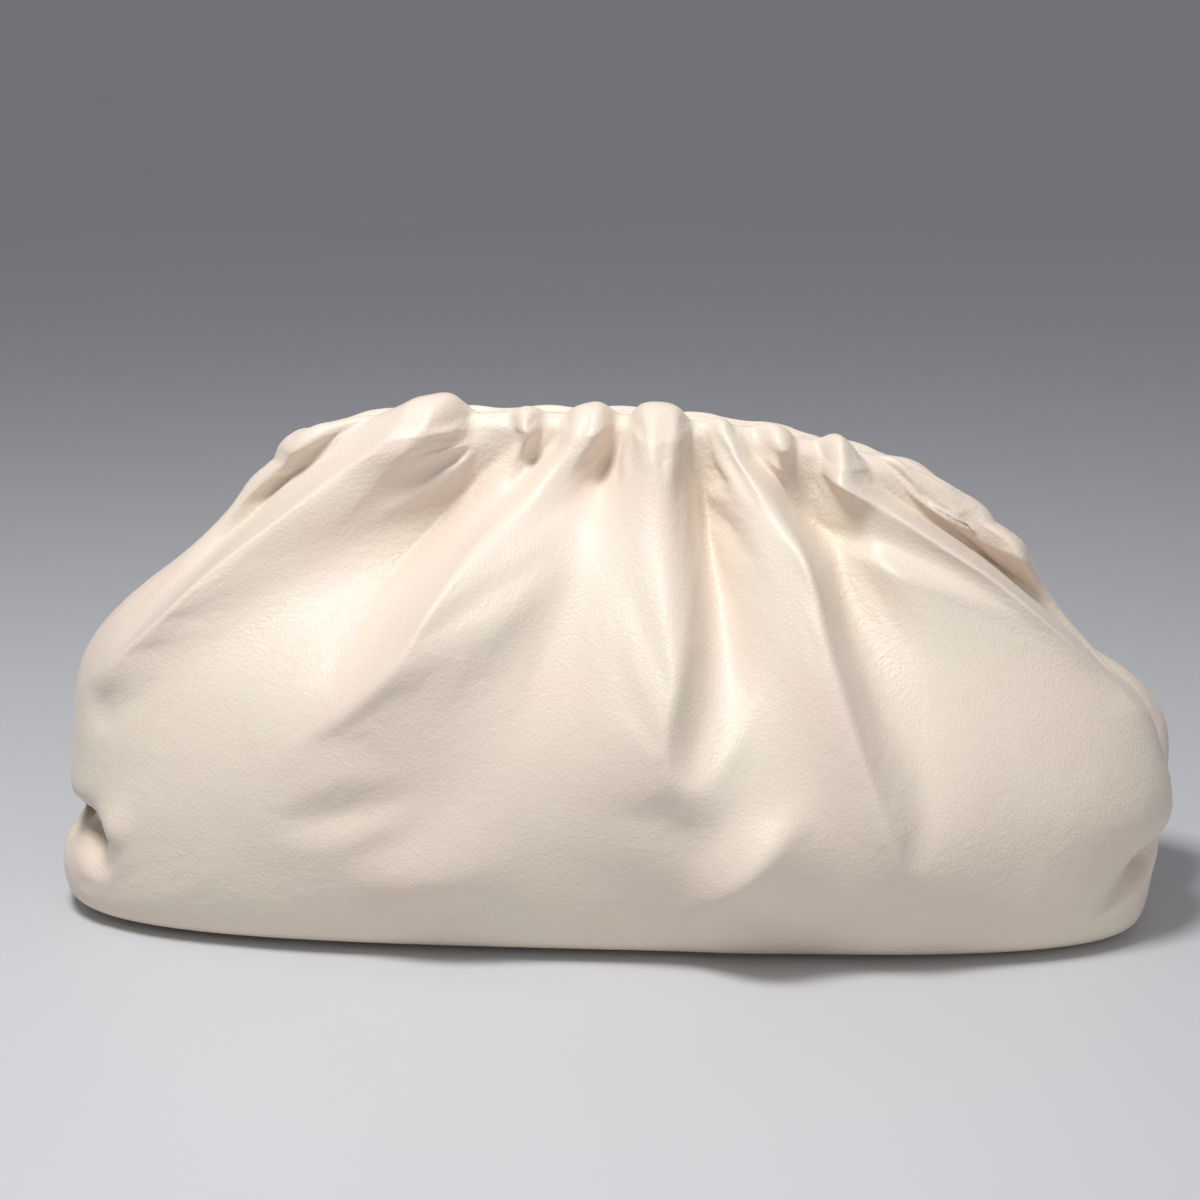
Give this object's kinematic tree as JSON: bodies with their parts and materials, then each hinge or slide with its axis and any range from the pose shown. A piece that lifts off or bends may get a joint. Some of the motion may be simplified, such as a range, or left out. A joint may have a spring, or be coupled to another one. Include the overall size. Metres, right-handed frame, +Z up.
{
  "type": "pouch bag",
  "caption": "Soft oversized clutch: one wide pouch of smooth leather gathered along a hidden closing frame, slumped shut on its own flat base.",
  "frame": {"origin": "on the floor, under the middle of the whole bag", "axes": "+X along the mouth to the viewer's right, +Y to the back, +Z up"},
  "size_m": [0.3986, 0.174, 0.185],
  "materials": {
    "nappa_leather": "smooth cream nappa with a soft satin sheen and a fine pebble grain",
    "frame_steel": "plain brushed strip, hidden inside the rolled lips"
  },
  "bodies": {
    "root": {"leather_body": "nappa_leather", "closing_frame": "frame_steel"}
  },
  "joints": []
}
